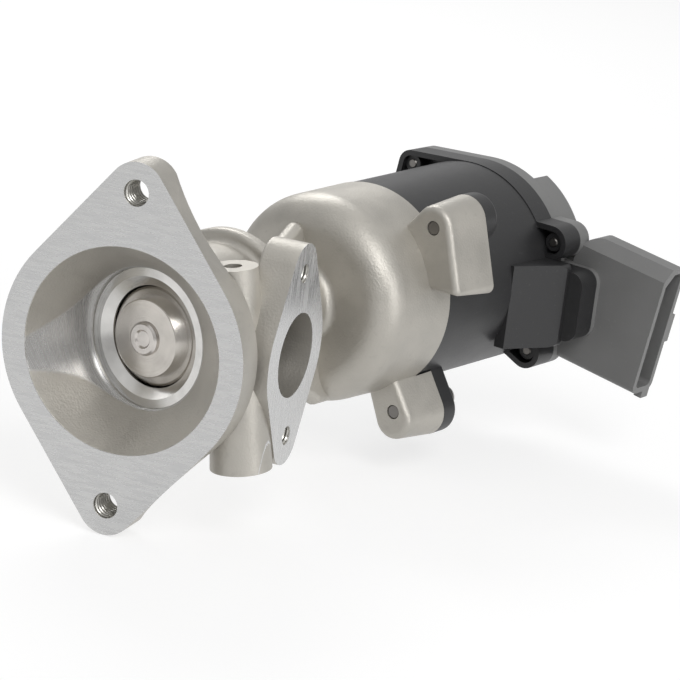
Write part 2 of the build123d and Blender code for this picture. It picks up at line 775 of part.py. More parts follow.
def make_lug_screws():
    """Three screws from the housing's lugs through to the casting's lug faces."""
    seat = LUG_REAR + HOUSING_LUG_THICK
    one = screw(LUG_SCREW_HEAD_R, LUG_SCREW_HEAD, LUG_SCREW_SHANK_R, seat - LUG_FRONT - 0.3)
    return in_row(Part(children=[polar(LUG_SCREW_R, bearing, seat) * one for bearing in LUG_BEARINGS]))


def make_cover_screws():
    """Four screws from the cover's ears into the housing's ears."""
    length = COVER_RIM_REAR - FLANGE_FRONT - 1.2
    one = screw(COVER_SCREW_HEAD_R, COVER_SCREW_HEAD, COVER_SCREW_SHANK_R, length)
    return in_row(Part(children=[polar(EAR_SCREW_R, bearing, COVER_RIM_REAR) * one for bearing in EAR_BEARINGS]))


def ball_bearing(outer, inner, low, high):
    """Outer race, inner race and a cage ring of balls, returned as three parts."""
    middle = (low + high) / 2
    pitch_r = (outer + inner) / 2
    ball_r = (outer - inner) / 2 - RACE_THICK + 0.35
    track = Pos(0, 0, middle) * Torus(pitch_r, ball_r)
    outer_race = ring(outer, outer - RACE_THICK, low, high) - track
    inner_race = ring(inner + RACE_THICK, inner, low, high) - track
    step = 360 / BALL_COUNT
    balls = [polar(pitch_r, step * index, middle) * Sphere(ball_r - 0.03) for index in range(BALL_COUNT)]
    return outer_race, inner_race, balls


def rotor_shaft_profile():
    """Hollow rotor: spindle nut at the front, journals at both ends."""
    front = FRONT_BEARING_FRONT
    front_shoulder = front + FRONT_BEARING_THICK
    rear = REAR_BEARING_FRONT + REAR_BEARING_THICK
    outer = spun(
        (0, front),
        (FRONT_JOURNAL_R, front),
        (FRONT_JOURNAL_R, front_shoulder),
        (SHAFT_R, front_shoulder),
        (SHAFT_R, BRIDGE_FRONT - 0.8),
        (REAR_JOURNAL_R + 0.6, BRIDGE_FRONT - 0.8),
        (REAR_JOURNAL_R + 0.6, REAR_BEARING_FRONT),
        (REAR_JOURNAL_R, REAR_BEARING_FRONT),
        (REAR_JOURNAL_R, rear),
        (0, rear),
    )
    nut_bore = disc(SPINDLE_R + SPINDLE_PLAY, front - 1, NUT_REAR)
    return outer - nut_bore - disc(SPINDLE_BORE_R, NUT_REAR, BORE_END)


def make_rotor_core():
    """Lamination stack with a flat for each magnet."""
    return in_row(ring(ROTOR_CORE_R, SHAFT_R, STACK_FRONT, STACK_REAR))


def make_rotor_magnets():
    """Arc magnets round the rotor core."""
    step = 360 / MAGNET_COUNT
    shell = ring(MAGNET_R, ROTOR_CORE_R, STACK_FRONT, STACK_REAR)
    gap = block((0, 2 * MAGNET_R), (-MAGNET_R * tan(radians(MAGNET_GAP_ANGLE / 2)),
                                    MAGNET_R * tan(radians(MAGNET_GAP_ANGLE / 2))),
                (STACK_FRONT - 1, STACK_REAR + 1))
    for index in range(MAGNET_COUNT):
        shell -= Rot(0, 0, step * index) * gap
    return in_row(shell)


def tooth():
    """One stator tooth with its shoe, pointing along local X."""
    stem = block((TOOTH_TIP_R + 0.4, SHELL_BORE_R - 1), (-TOOTH_WIDTH / 2, TOOTH_WIDTH / 2),
                 (STACK_FRONT, STACK_REAR))
    half = tan(radians(TOOTH_SHOE_ANGLE / 2)) * 2 * MAGNET_R
    wedge = make_face(Polyline((0, 0), (2 * MAGNET_R, half), (2 * MAGNET_R, -half), close=True).edges())
    shoe = ring(TOOTH_TIP_R + TOOTH_SHOE_THICK, TOOTH_TIP_R, STACK_FRONT, STACK_REAR)
    return stem + (shoe & raised(wedge, STACK_FRONT, STACK_REAR))


def make_stator_core():
    """Laminated yoke with inward teeth."""
    core = ring(SHELL_BORE_R, SHELL_BORE_R - YOKE_THICK, STACK_FRONT, STACK_REAR)
    for index in range(TOOTH_COUNT):
        core += Rot(0, 0, 360 / TOOTH_COUNT * index) * tooth()
    return in_row(core)


def make_stator_coils():
    """One wound coil round each tooth."""
    inner_r = TOOTH_TIP_R + TOOTH_SHOE_THICK + 0.4
    outer_r = SHELL_BORE_R - YOKE_THICK - 0.8
    half = TOOTH_WIDTH / 2
    outline = Rectangle(2 * (half + COIL_BUILD), STACK_REAR - STACK_FRONT + 2 * COIL_OVERHANG)
    outline = fillet(outline.vertices(), 2.4)
    window = Rectangle(2 * half, STACK_REAR - STACK_FRONT)
    middle = (STACK_FRONT + STACK_REAR) / 2
    coil = extrude(Plane(origin=(inner_r, 0, middle), x_dir=(0, 1, 0), z_dir=(1, 0, 0)) * (outline - window),
                   amount=outer_r - inner_r)
    turns = [Rot(0, 0, 360 / TOOTH_COUNT * index) * coil for index in range(TOOTH_COUNT)]
    return in_row(Part(children=turns))


def make_bearing_bridge():
    """Die-cast plate behind the stator that carries the rear bearing."""
    rear = BRIDGE_FRONT + BRIDGE_THICK
    plate = spun(
        (REAR_JOURNAL_R + 1.2, BRIDGE_FRONT),
        (SHELL_BORE_R, BRIDGE_FRONT),
        (SHELL_BORE_R, BRIDGE_FRONT + 2.2),
        (REAR_BEARING_R + 2.4, BRIDGE_FRONT + 2.2, 1.0),
        (REAR_BEARING_R + 2.4, rear),
        (REAR_BEARING_R, rear),
        (REAR_BEARING_R, REAR_BEARING_FRONT),
        (REAR_JOURNAL_R + 1.2, REAR_BEARING_FRONT),
    )
    ribs = [Rot(0, 0, 60 * index) * block((REAR_BEARING_R + 1.5, SHELL_BORE_R - 2), (-0.9, 0.9),
                                          (BRIDGE_FRONT + 1, BRIDGE_FRONT + 4.4)) for index in range(6)]
    return in_row(joined(plate, *ribs))


def make_magnet_carrier():
    """Plastic cup on the rotor's rear journal that holds the sensor magnet."""
    low = REAR_BEARING_FRONT + REAR_BEARING_THICK
    cup = disc(MAGNET_CUP_R, low, SENSOR_MAGNET_REAR)
    return in_row(cup - disc(SENSOR_MAGNET_R, SENSOR_MAGNET_REAR - SENSOR_MAGNET_THICK, SENSOR_MAGNET_REAR + 1))


def make_sensor_magnet():
    """Round magnet read by the angle sensor."""
    return in_row(disc(SENSOR_MAGNET_R, SENSOR_MAGNET_REAR - SENSOR_MAGNET_THICK, SENSOR_MAGNET_REAR))


# Cover, board and connector

def plug_frame():
    """Connector frame: local X out along the plug, local Y up its width, local Z along the valve axis."""
    return Rot(0, 0, PLUG_BEARING - 180) * Rot(0, 0, 180)


def plug_section(width, thick, corner, bevel):
    """Cross-section of the shroud: width along Y, thickness along X, one corner bevelled."""
    outline = Rectangle(thick, width)
    outline = fillet(outline.vertices(), corner)
    cutter = Pos(-thick / 2, width / 2) * Rot(0, 0, -45) * Rectangle(bevel * 2 ** 0.5, 4 * bevel)
    return outline - cutter


def plug_bar(width, thick, corner, bevel, near, far):
    """Shroud section carried out along the plug's direction."""
    face = Plane(origin=(near, -PLUG_CENTRE, PLUG_FRONT + PLUG_THICK / 2), x_dir=(0, 0, 1), z_dir=(1, 0, 0))
    return extrude(face * plug_section(width, thick, corner, bevel), amount=far - near)


def plug_body():
    """Shroud outside: a bar with a rounded shoulder, and its narrower root on the cover."""
    bar = plug_bar(PLUG_WIDTH, PLUG_THICK, PLUG_CORNER, PLUG_BEVEL, PLUG_START, PLUG_OUT)
    top = -PLUG_CENTRE - PLUG_WIDTH / 2
    corner = Pos(PLUG_START, top) * Rectangle(2 * PLUG_SHOULDER_R, 2 * PLUG_SHOULDER_R)
    corner -= Pos(PLUG_START + PLUG_SHOULDER_R, top + PLUG_SHOULDER_R) * Circle(PLUG_SHOULDER_R)
    rear = PLUG_FRONT + PLUG_THICK
    root = block((SHELL_BORE_R, PLUG_START + 4), (-PLUG_ROOT_TOP, -PLUG_CENTRE + PLUG_WIDTH / 2 - PLUG_CORNER),
                 (PLUG_FRONT, rear))
    return bar - raised(corner, PLUG_FRONT - 1, rear + 1) + root


def plug_socket():
    """Inside of the shroud, open at its outer end."""
    return plug_bar(PLUG_WIDTH - 2 * PLUG_WALL, PLUG_THICK - 2 * PLUG_WALL, PLUG_CORNER - 1.2,
                    PLUG_BEVEL, PLUG_OUT - PLUG_DEPTH, PLUG_OUT + 1)


def plug_trim():
    """Latch catch on the shroud's rear wall and the small hook at its foot."""
    rear = PLUG_FRONT + PLUG_THICK
    half = LATCH_WIDTH / 2
    catch = block((PLUG_OUT - 5.0, PLUG_OUT), (-PLUG_CENTRE - half, -PLUG_CENTRE + half),
                  (rear - 0.5, rear + LATCH_OUT))
    foot = -PLUG_CENTRE + PLUG_WIDTH / 2
    hook = block((PLUG_OUT - 2.4, PLUG_OUT), (foot - 0.6, foot + PLUG_HOOK), (rear - 4.4, rear - 0.8))
    return catch + hook


def cover_block():
    """Raised block behind the cover's rim on the connector's side."""
    reach = 2 * SHELL_REAR_R
    side = Pos((COVER_BLOCK_EDGE - reach) / 2, 0) * Rectangle(COVER_BLOCK_EDGE + reach, 2 * reach)
    outline = Rot(0, 0, PLUG_BEARING - 180) * side
    block_shape = raised(shell_circle() & outline, COVER_RIM_REAR - 1, COVER_BLOCK_REAR)
    return fillet(block_shape.faces().sort_by(Axis.Z)[-1].edges(), COVER_EDGE)


def cover_shell():
    """Cap with the housing's outline, a shallow step and the raised block."""
    plate = raised(rear_outline(), FLANGE_REAR, COVER_RIM_REAR)
    plate = fillet(plate.faces().sort_by(Axis.Z)[-1].edges(), COVER_EDGE)
    step = spun((0, COVER_RIM_REAR - 1), (COVER_STEP_R + 1.2, COVER_RIM_REAR - 1),
                (COVER_STEP_R, COVER_RIM_REAR + COVER_STEP, 0.5), (0, COVER_RIM_REAR + COVER_STEP))
    return joined(plate, step, cover_block())


def cover_hollow():
    """Space in front of the board, with a recess under the block for the blades' tails."""
    hollow = disc(SHELL_BORE_R - 1.0, FLANGE_REAR - 1, COVER_RIM_REAR - COVER_WALL)
    half = PIN_PITCH * PIN_COUNT / 2
    recess = block((TAIL_R - 2.0, TAIL_R + 3.0), (-PLUG_CENTRE - half, -PLUG_CENTRE + half),
                   (COVER_RIM_REAR - COVER_WALL - 1, COVER_BLOCK_REAR - COVER_WALL))
    return hollow + plug_frame() * recess


def make_rear_cover():
    """Grey moulded cover and connector shroud in one piece."""
    plug = plug_frame() * (plug_body() + plug_trim() - plug_socket())
    cover = cover_shell() + plug - cover_hollow()
    for bearing in EAR_BEARINGS:
        shaft = disc(COVER_SCREW_SHANK_R + SCREW_PLAY, FLANGE_REAR - 1, COVER_RIM_REAR + 1)
        head_way = disc(COVER_SCREW_HEAD_R + 0.6, COVER_RIM_REAR, COVER_BLOCK_REAR + 1)
        cover -= polar(EAR_SCREW_R, bearing) * (shaft + head_way)
    return in_row(cover - plug_frame() * pin_set())


def pin_set():
    """Straight blades from the board side into the shroud."""
    middle = PLUG_FRONT + PLUG_THICK / 2
    near = TAIL_R
    far = PLUG_OUT - PLUG_DEPTH + PIN_LENGTH
    pins = []
    for index in range(PIN_COUNT):
        offset = -PLUG_CENTRE + (index - (PIN_COUNT - 1) / 2) * PIN_PITCH
        pins.append(block((near, far), (offset - PIN_WIDTH / 2, offset + PIN_WIDTH / 2),
                          (middle - PIN_THICK / 2, middle + PIN_THICK / 2)))
    return Part(children=pins)


def make_terminals():
    """Five plug blades, each with a tail down to the circuit board."""
    middle = PLUG_FRONT + PLUG_THICK / 2
    near = TAIL_R
    pins = []
    for index, blade in enumerate(pin_set().children):
        offset = -PLUG_CENTRE + (index - (PIN_COUNT - 1) / 2) * PIN_PITCH
        tail = block((near, near + PIN_THICK), (offset - PIN_WIDTH / 2, offset + PIN_WIDTH / 2),
                     (BOARD_FRONT + BOARD_THICK, middle))
        pins.append(plug_frame() * (blade + tail))
    return in_row(Part(children=pins))


def make_cover_seal():
    """Round cord seal in the groove between housing and cover."""
    return in_row(ring(SEAL_GROOVE_R + SEAL_WIRE / 2, SEAL_GROOVE_R - SEAL_WIRE / 2,
                       FLANGE_REAR - SEAL_WIRE / 2, FLANGE_REAR))


def make_circuit_board():
    """Round board held in the housing's rear."""
    board = disc(SHELL_BORE_R - BOARD_PLAY, BOARD_FRONT, BOARD_FRONT + BOARD_THICK)
    return in_row(board)


def make_sensor_chip():
    """Angle sensor chip on the board, facing the magnet."""
    half = CHIP_SIDE / 2
    return in_row(block((-half, half), (-half, half), (CHIP_FRONT, BOARD_FRONT)))


def bearing_nodes(name, outer, inner, low, high):
    """Named parts of one bearing: fixed outer race with its balls, and the turning inner race."""
    outer_race, inner_race, balls = ball_bearing(outer, inner, low, high)
    return {
        name + "_outer_race": in_row(outer_race),
        name + "_inner_race": in_row(inner_race),
        name + "_balls": in_row(Part(children=balls)),
    }


def build():
    """Every node of the valve by name."""
    front_high = FRONT_BEARING_FRONT + FRONT_BEARING_THICK
    rear_high = REAR_BEARING_FRONT + REAR_BEARING_THICK
    nodes = {
        "valve_body": make_valve_body(),
        "seat_ring": make_seat_ring(),
        "valve_disc": make_valve_disc(),
        "valve_stem": make_valve_stem(),
        "stem_guide": make_stem_guide(),
        "stem_scraper": make_stem_scraper(),
        "stem_seal": make_stem_seal(),
        "stem_spacer": make_stem_spacer(),
        "spring_cup": make_spring_cup(),
        "spindle": make_spindle(),
        "return_spring": make_return_spring(),
        "thrust_plate": make_thrust_plate(),
        "motor_housing": make_motor_housing(),
        "housing_o_ring": make_housing_o_ring(),
        "lug_screws": make_lug_screws(),
        "rotor_shaft": in_row(rotor_shaft_profile()),
        "rotor_core": make_rotor_core(),
        "rotor_magnets": make_rotor_magnets(),
        "stator_core": make_stator_core(),
        "stator_coils": make_stator_coils(),
        "bearing_bridge": make_bearing_bridge(),
        "magnet_carrier": make_magnet_carrier(),
        "sensor_magnet": make_sensor_magnet(),
        "circuit_board": make_circuit_board(),
        "sensor_chip": make_sensor_chip(),
        "terminals": make_terminals(),
        "cover_seal": make_cover_seal(),
        "rear_cover": make_rear_cover(),
        "cover_screws": make_cover_screws(),
    }
    nodes.update(bearing_nodes("front_bearing", FRONT_BEARING_R, FRONT_JOURNAL_R, FRONT_BEARING_FRONT, front_high))
    nodes.update(bearing_nodes("rear_bearing", REAR_BEARING_R, REAR_JOURNAL_R, REAR_BEARING_FRONT, rear_high))
    return nodes


os.makedirs("parts", exist_ok=True)
NODES = build()
for node_name, node_shape in NODES.items():
    export_step(node_shape, "parts/" + node_name + ".step")
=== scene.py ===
import json
from math import cos, radians, sin

import bpy
import numpy as np
from mathutils import Matrix, Vector


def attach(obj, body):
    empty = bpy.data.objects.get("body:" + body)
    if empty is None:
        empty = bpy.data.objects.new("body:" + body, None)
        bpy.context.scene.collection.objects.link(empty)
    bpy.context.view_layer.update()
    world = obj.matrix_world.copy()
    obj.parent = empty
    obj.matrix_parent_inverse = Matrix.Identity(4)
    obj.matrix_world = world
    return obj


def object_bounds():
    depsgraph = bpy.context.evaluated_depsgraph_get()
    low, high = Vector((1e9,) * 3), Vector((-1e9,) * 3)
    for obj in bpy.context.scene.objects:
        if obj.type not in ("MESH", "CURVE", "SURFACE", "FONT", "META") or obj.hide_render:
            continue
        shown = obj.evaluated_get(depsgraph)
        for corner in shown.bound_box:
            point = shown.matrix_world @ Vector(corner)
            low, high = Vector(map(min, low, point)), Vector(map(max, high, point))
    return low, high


bpy.context.scene.view_settings.view_transform = "Standard"
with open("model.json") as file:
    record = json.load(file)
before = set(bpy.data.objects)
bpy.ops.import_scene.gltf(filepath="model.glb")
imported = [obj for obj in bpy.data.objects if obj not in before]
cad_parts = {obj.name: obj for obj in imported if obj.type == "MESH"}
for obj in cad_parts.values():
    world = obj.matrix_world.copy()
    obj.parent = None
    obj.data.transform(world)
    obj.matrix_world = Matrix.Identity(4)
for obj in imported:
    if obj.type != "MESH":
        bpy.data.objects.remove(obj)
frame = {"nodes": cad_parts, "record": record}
cad_low, cad_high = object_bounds()
NODES = frame["nodes"]
RECORD = frame["record"]
BODY_OF = {node: body for body, nodes in RECORD["behaviour"]["bodies"].items() for node in nodes}

# All lengths are in metres.
# Valve frame: local z runs from the seat to the motor, and local y is the frame's z.
VALVE_TILT = radians(15.6)
SEAT_CENTRE = Vector((0.0158, 0.0, 0.0))
VALVE_TURN = Matrix(((sin(VALVE_TILT), 0, cos(VALVE_TILT)),
                     (cos(VALVE_TILT), 0, -sin(VALVE_TILT)),
                     (0, 1, 0)))
VALVE_AXIS = VALVE_TURN.col[2]
AXES = np.array([VALVE_TURN.col[index] for index in range(3)])
SEAT = np.array(SEAT_CENTRE)

# Places on the casting that the finishes and the added pieces line up with
FACE_TOLERANCE = 0.00006
PORT_FACE_Y = -0.0354
PORT_X = 0.029
PORT_FLANGE_END_X = 0.05
MAIN_BOLT_Z = 0.0408
PORT_BOLT_Z = 0.0216
TURNED_R = 0.02048
TURNED_END = 0.0013

# The bowl's wall: its two edges, and the tool that turned the relief in front of the seat
MOUTH_R = 0.0268
SEAT_EDGE_R = 0.0181
SEAT_EDGE_GAP = 0.00002
TOOL_R = 0.0185
TOOL_TAPER = 0.1345
TOOL_LEAN = 0.0735
TOOL_END_SHARE = 0.985
TOOL_MARK_DEPTH = 0.00004
WALL_LIP = 0.0002
WALL_SWELL = 0.0016
WALL_TUCK = 0.0012

# The threads in the bolt holes
THREAD_TURNS = 56
THREAD_STEPS = 8
THREAD_START = 0.00015
THREAD_LEAD = 0.0003
THREAD_HEIGHT = 0.36
THREAD_PLAY = 0.00004
THREAD_BACK = 0.0002

# Machining marks: cells of the turned rings to the metre, and how the milled strokes are drawn out
RINGS_PER_METRE = 9000.0
MAIN_STROKES = (1, 0.12, 1)
PORT_STROKES = (1, 1, 0.1)

# The photograph's camera: focal length in the picture's pixels, place and directions
PICTURE_PIXELS = 680
FOCAL_PIXELS = 2800
SENSOR_WIDTH = 36.0
CAMERA_PLACE = (-0.60922, -0.27357, 0.20412)
CAMERA_RIGHT = (0.3643, -0.9240, 0.1164)
CAMERA_UP = (0.2213, 0.2073, 0.9529)
CAMERA_BACK = (-0.9046, -0.3214, 0.2800)

# Floor and lamps; each lamp has its name, place, point it looks at, width and height, and power
FLOOR_REACH = 4.0
FLOOR_GAP = 0.0002
LAMPS = (
    ("key_box", (-0.55, -0.55, 0.75), (0.05, -0.02, 0.0), (0.5, 0.5), 4.6),
    ("side_box", (-0.2, -0.9, 0.15), (0.08, -0.02, 0.0), (0.25, 0.7), 2.4),
    ("back_box", (0.7, 0.5, 0.7), (0.1, 0.0, 0.0), (0.6, 0.4), 4.0),
)

# Sockets of a mix node for each kind of value: first, second, result
MIX_SOCKETS = {"FLOAT": (2, 3, 0), "VECTOR": (4, 5, 1), "RGBA": (6, 7, 2)}


# Camera, floor and light

def link(thing):
    """Put an object into the scene."""
    bpy.context.scene.collection.objects.link(thing)
    return thing


def set_camera():
    """The photograph's own view: a long lens in front of the main flange."""
    lens = bpy.data.cameras.new("photo_camera")
    lens.sensor_width = SENSOR_WIDTH
    lens.lens = FOCAL_PIXELS / PICTURE_PIXELS * SENSOR_WIDTH
    lens.clip_start, lens.clip_end = 0.02, 20
    camera = bpy.data.objects.new("photo_camera", lens)
    turn = Matrix((CAMERA_RIGHT, CAMERA_UP, CAMERA_BACK)).transposed()
    turn = turn.to_quaternion().to_matrix().to_4x4()
    camera.matrix_world = Matrix.Translation(CAMERA_PLACE) @ turn
    bpy.context.scene.camera = link(camera)


def add(tree, kind, inputs=None, **settings):
    """A node with its options set and its inputs set or linked."""
    node = tree.nodes.new(kind)
    for key, value in settings.items():
        setattr(node, key, value)
    for key, value in (inputs or {}).items():
        if isinstance(value, bpy.types.NodeSocket):
            tree.links.new(value, node.inputs[key])
        else:
            node.inputs[key].default_value = value
    return node


def ray_flags(tree):
    """Two flags of a ray: seen by the camera or through glass, and seen in a reflection."""
    path = add(tree, "ShaderNodeLightPath")
    either = add(tree, "ShaderNodeMath", {0: path.outputs["Is Camera Ray"],
                                          1: path.outputs["Is Transmission Ray"]},
                 operation="MAXIMUM")
    return either.outputs[0], path.outputs["Is Glossy Ray"]


def set_world():
    """White where the camera looks, soft grey for light, and a banded studio for reflections."""
    world = bpy.data.worlds.new("studio")
    world.use_nodes = True
    tree = world.node_tree
    tree.nodes.clear()
    direct, glossy = ray_flags(tree)
    direction = add(tree, "ShaderNodeTexCoord").outputs["Generated"]
    height = add(tree, "ShaderNodeSeparateXYZ", {0: direction}).outputs["Z"]
    room = spread(tree, height, -0.6, 0.9, 0.12, 1.0)
    mirrored = add(tree, "ShaderNodeBackground", {"Strength": 0.85, "Color": room})
    plain = add(tree, "ShaderNodeBackground", {"Strength": 0.36, "Color": (1, 1, 1, 1)})
    white = add(tree, "ShaderNodeBackground", {"Strength": 1.0, "Color": (1, 1, 1, 1)})
    lit = add(tree, "ShaderNodeMixShader", {0: glossy, 1: plain.outputs[0],
                                            2: mirrored.outputs[0]})
    both = add(tree, "ShaderNodeMixShader", {0: direct, 1: lit.outputs[0], 2: white.outputs[0]})
    out = add(tree, "ShaderNodeOutputWorld")
    tree.links.new(both.outputs[0], out.inputs[0])
    bpy.context.scene.world = world


def soft_box(name, place, aim, size, power):
    """A rectangular area lamp that looks at a point."""
    lamp = bpy.data.lights.new(name, "AREA")
    lamp.shape = "RECTANGLE"
    lamp.size, lamp.size_y = size
    lamp.energy = power
    holder = bpy.data.objects.new(name, lamp)
    holder.location = place
    holder.rotation_euler = (Vector(aim) - Vector(place)).to_track_quat("-Z", "Y").to_euler()
    link(holder)


def set_floor(level):
    """A wide pale floor, nearly white to the camera, that keeps a soft shadow."""
    mesh = bpy.data.meshes.new("floor")
    corners = ((-1, -1), (1, -1), (1, 1), (-1, 1))
    mesh.from_pydata([(x * FLOOR_REACH, y * FLOOR_REACH, level) for x, y in corners],
                     [], [(0, 1, 2, 3)])
    floor = link(bpy.data.objects.new("floor", mesh))
    material = bpy.data.materials.new("pale_floor")
    material.use_nodes = True
    tree = material.node_tree
    tree.nodes.clear()
    direct, glossy = ray_flags(tree)
    seen = add(tree, "ShaderNodeMath", {0: direct, 1: glossy}, operation="MAXIMUM")
    pale = add(tree, "ShaderNodeBsdfDiffuse", {"Color": (0.82, 0.82, 0.82, 1)})
    faint = add(tree, "ShaderNodeBsdfDiffuse", {"Color": (0.34, 0.34, 0.34, 1)})
    glow = add(tree, "ShaderNodeEmission", {"Color": (1, 1, 1, 1), "Strength": 0.72})
    shown = add(tree, "ShaderNodeAddShader", {0: faint.outputs[0], 1: glow.outputs[0]})
    both = add(tree, "ShaderNodeMixShader", {0: seen.outputs[0], 1: pale.outputs[0],
                                             2: shown.outputs[0]})
    out = add(tree, "ShaderNodeOutputMaterial")
    tree.links.new(both.outputs[0], out.inputs[0])
    mesh.materials.append(material)


# Finishes

def start_finish(name, colour, rough, metal=0.0):
    """A new node material with its plain values on the shader itself."""
    material = bpy.data.materials.new(name)
    material.use_nodes = True
    tree = material.node_tree
    shader = tree.nodes["Principled BSDF"]
    shader.inputs["Base Color"].default_value = (*colour, 1)
    shader.inputs["Roughness"].default_value = rough
    shader.inputs["Metallic"].default_value = metal
    place = add(tree, "ShaderNodeTexCoord").outputs["Object"]
    return material, tree, shader, place


def drive(tree, shader, colour=None, rough=None, normal=None):
    """Link the shader's colour, roughness and normal to what makes them vary."""
    for socket, value in (("Base Color", colour), ("Roughness", rough), ("Normal", normal)):
        if value is not None:
            tree.links.new(value, shader.inputs[socket])


def calc(tree, operation, first, second=0.0, third=0.0):
    """One sum on two or three numbers."""
    return add(tree, "ShaderNodeMath", {0: first, 1: second, 2: third},
               operation=operation).outputs[0]


def mixed(tree, share, first, second, kind="RGBA"):
    """A colour between two colours, or a number or a vector between two of them."""
    low, high, result = MIX_SOCKETS[kind]
    return add(tree, "ShaderNodeMix", {0: share, low: first, high: second},
               data_type=kind).outputs[result]


def spread(tree, value, low, high, to_low, to_high):
    """A number carried straight from one span to another, and held at the ends."""
    return add(tree, "ShaderNodeMapRange", {"Value": value, "From Min": low, "From Max": high,
                                           "To Min": to_low, "To Max": to_high}).outputs[0]


def grain(tree, place, pitch, detail=2.0, stretch=None):
    """Noise whose grains are about one pitch across."""
    if stretch is not None:
        place = add(tree, "ShaderNodeVectorMath", {0: place, 1: stretch},
                    operation="MULTIPLY").outputs[0]
    return add(tree, "ShaderNodeTexNoise", {"Vector": place, "Scale": 1 / pitch,
                                           "Detail": detail}).outputs[0]


def relief(tree, height, depth):
    """Bump from a height field."""
    return add(tree, "ShaderNodeBump", {"Height": height, "Distance": depth,
                                       "Strength": 1.0}).outputs[0]


def in_valve(tree, place):
    """The point in the valve frame."""
    return add(tree, "ShaderNodeMapping", {"Vector": place, "Location": SEAT_CENTRE,
                                          "Rotation": VALVE_TURN.to_euler()},
               vector_type="TEXTURE").outputs[0]


def axial(tree, local):
    """How far a point of the valve frame is behind the seat."""
    return add(tree, "ShaderNodeSeparateXYZ", {0: local}).outputs["Z"]


def off_axis(tree, local):
    """Distance of a point of the valve frame from the valve axis."""
    cross = add(tree, "ShaderNodeVectorMath", {0: local, 1: (1, 1, 0)},
                operation="MULTIPLY").outputs[0]
    return add(tree, "ShaderNodeVectorMath", {0: cross}, operation="LENGTH").outputs[1]


def shades(colour, factor):
    """A colour made lighter or darker."""
    return (*[channel * factor for channel in colour], 1)


def cast_aluminium(name="cast_aluminium", lining=False):
    """Die-cast grey alloy with a fine skin, bright where tools milled its faces or turned it.

    The casting finds the turned places by their distance from the valve axis, and the bowl's
    lining by its own tool_cut marks.
    """
    colour = (0.47, 0.45, 0.41)
    pore, cut_dark, cut_light = (0.40, 0.38, 0.35, 1), (0.53, 0.53, 0.53, 1), (0.62, 0.62, 0.615, 1)
    material, tree, shader, place = start_finish(name, colour, 0.45, 0.7)
    parts = add(tree, "ShaderNodeSeparateXYZ", {0: place})
    local = in_valve(tree, place)
    along = axial(tree, local)
    radius = off_axis(tree, local)
    face = calc(tree, "LESS_THAN", parts.outputs["X"], FACE_TOLERANCE)
    port = calc(tree, "MULTIPLY",
                calc(tree, "COMPARE", parts.outputs["Y"], PORT_FACE_Y, FACE_TOLERANCE),
                calc(tree, "LESS_THAN", parts.outputs["X"], PORT_FLANGE_END_X))
    if lining:
        turned = add(tree, "ShaderNodeAttribute", attribute_name="tool_cut").outputs["Fac"]
    else:
        turned = calc(tree, "MULTIPLY", calc(tree, "LESS_THAN", radius, TURNED_R),
                      calc(tree, "LESS_THAN", along, TURNED_END))
    milled = calc(tree, "MAXIMUM", face, port)
    cut = calc(tree, "MAXIMUM", milled, turned)

    mottle = grain(tree, place, 0.012, 4.0)
    fine = grain(tree, place, 0.0006, 3.0)
    speck = grain(tree, place, 0.0022, 2.0)
    cast = mixed(tree, spread(tree, mottle, 0.35, 0.65, 0, 1),
                 shades(colour, 0.93), shades(colour, 1.06))
    cast = mixed(tree, spread(tree, speck, 0.62, 0.72, 0, 0.35), cast, pore)
    rings = add(tree, "ShaderNodeTexNoise",
                {"W": calc(tree, "MULTIPLY", radius, RINGS_PER_METRE), "Scale": 1.0},
                noise_dimensions="1D").outputs[0]
    across = mixed(tree, port, MAIN_STROKES, PORT_STROKES, "VECTOR")
    faint_rings = calc(tree, "MULTIPLY_ADD", rings, 0.3, 0.35)
    strokes = mixed(tree, turned, grain(tree, place, 0.0009, 3.0, across), faint_rings, "FLOAT")
    bright = mixed(tree, spread(tree, strokes, 0.3, 0.7, 0, 1), cut_dark, cut_light)

    cast_rough = spread(tree, mottle, 0.3, 0.7, 0.40, 0.52)
    cut_rough = spread(tree, strokes, 0.3, 0.7, 0.20, 0.34)
    skin = calc(tree, "MULTIPLY", fine, calc(tree, "SUBTRACT", 1.0, cut))
    marks = calc(tree, "MULTIPLY", strokes, calc(tree, "MULTIPLY", milled, 0.12))
    turned_marks = calc(tree, "MULTIPLY", rings, calc(tree, "MULTIPLY", turned, 0.06))
    height = calc(tree, "ADD", skin, calc(tree, "ADD", marks, turned_marks))
    drive(tree, shader, mixed(tree, cut, cast, bright),
          mixed(tree, cut, cast_rough, cut_rough, "FLOAT"), relief(tree, height, 0.00009))
    return material


